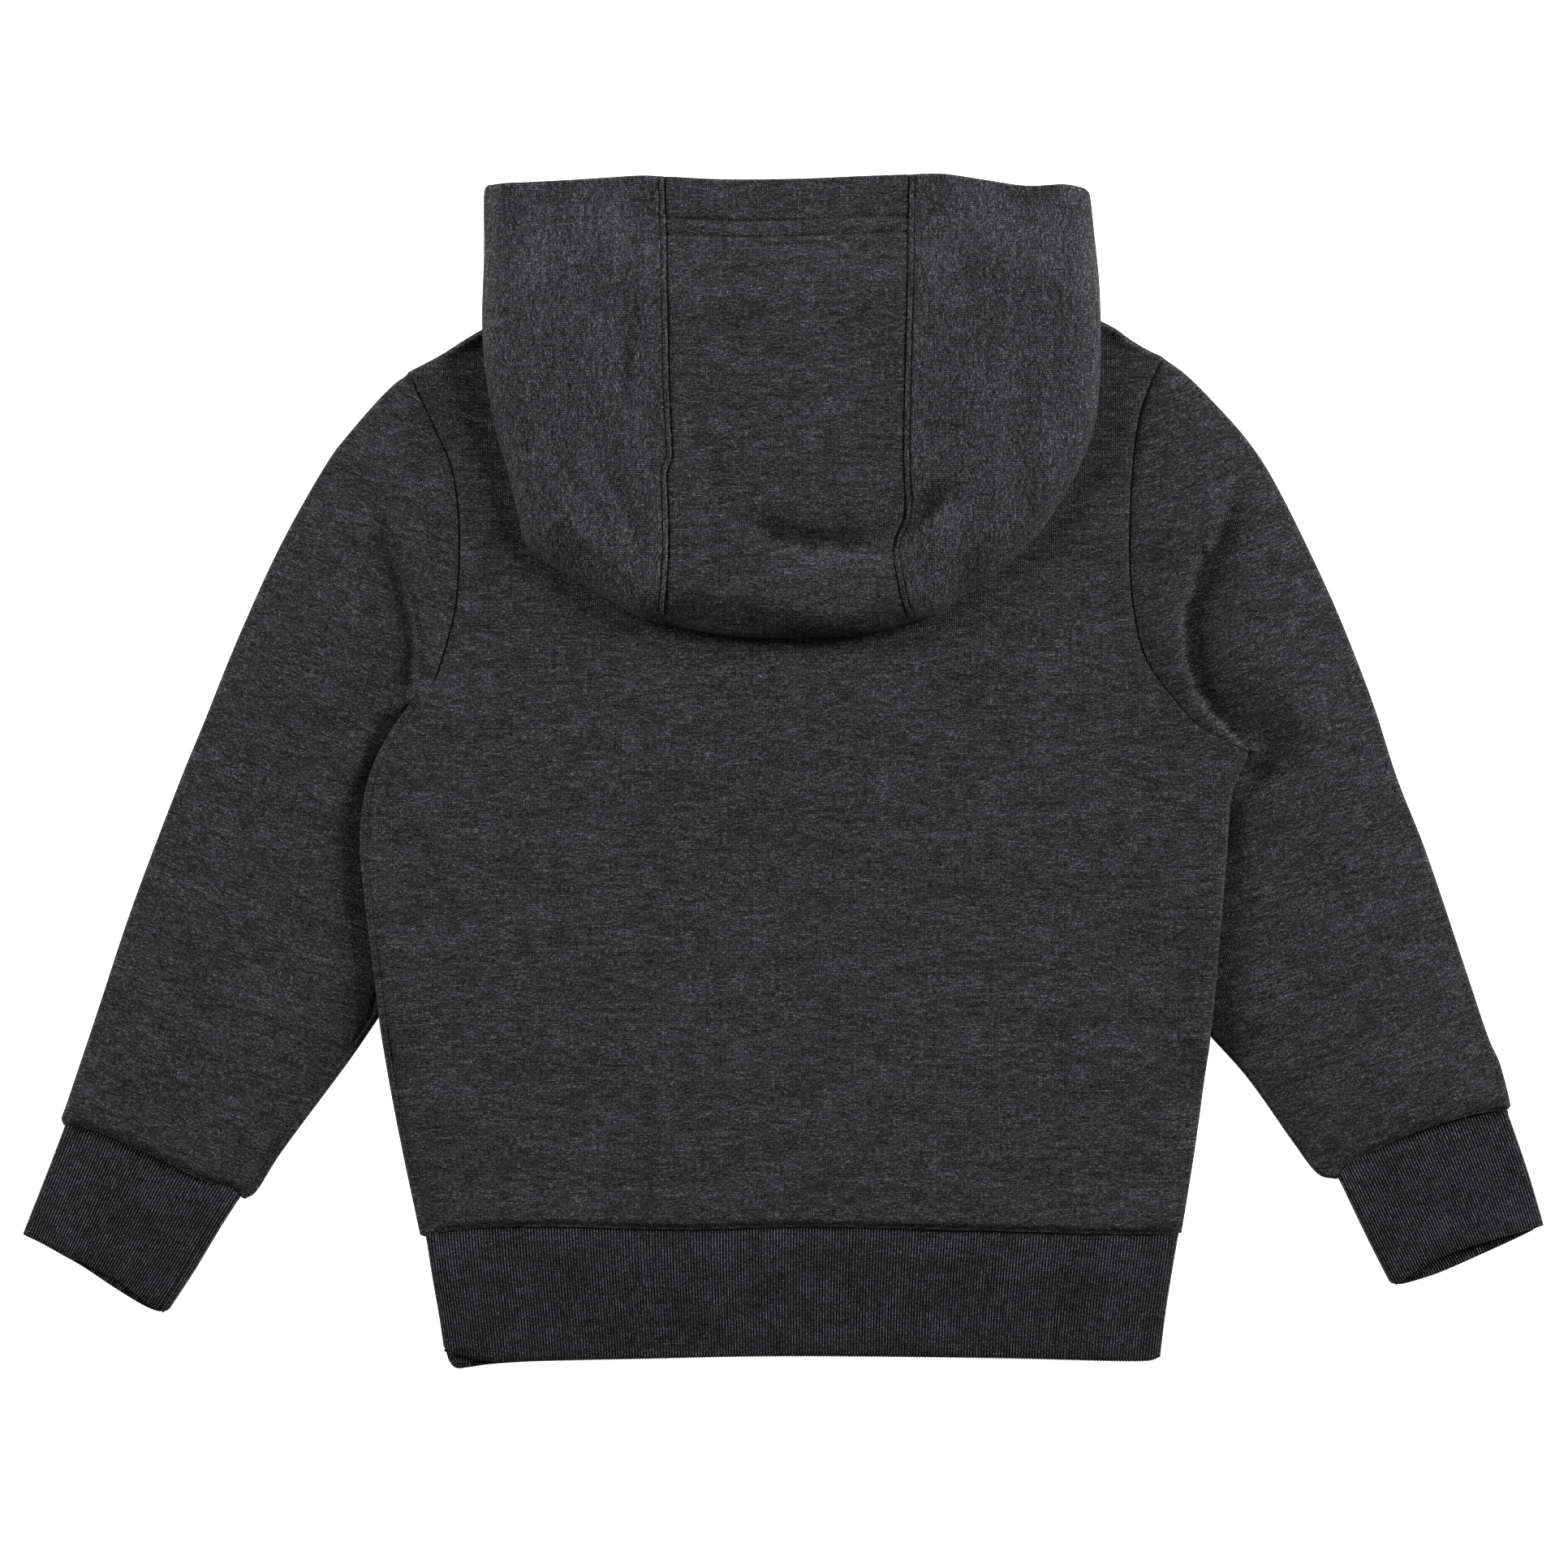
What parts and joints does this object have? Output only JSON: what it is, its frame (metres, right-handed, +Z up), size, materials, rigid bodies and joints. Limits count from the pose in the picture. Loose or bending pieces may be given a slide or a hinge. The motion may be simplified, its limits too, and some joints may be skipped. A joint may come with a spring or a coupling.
{
  "type": "toddler hoodie laid flat",
  "caption": "Child's pullover hoodie in heather fleece, laid flat on its front with the hood turned down over the back, set-in sleeves, rib cuffs and rib waistband.",
  "frame": {"origin": "middle of the garment's outline, on the surface that it lies on", "axes": "+X across the garment from one cuff to the other, +Y from hem to hood, +Z up from the surface, back of the garment up"},
  "size_m": [0.593, 0.4644, 0.0193],
  "materials": {
    "sweat_fleece": "brushed heather sweatshirt fleece, matt",
    "rib_knit": "1x1 rib knit, matt"
  },
  "bodies": {
    "root": {"back_panel": "sweat_fleece", "front_panel": "sweat_fleece", "sleeve_left": "sweat_fleece", "sleeve_right": "sweat_fleece", "hood_side_left": "sweat_fleece", "hood_side_right": "sweat_fleece", "hood_centre": "sweat_fleece", "waistband": "rib_knit", "cuff_left": "rib_knit", "cuff_right": "rib_knit"}
  },
  "joints": []
}
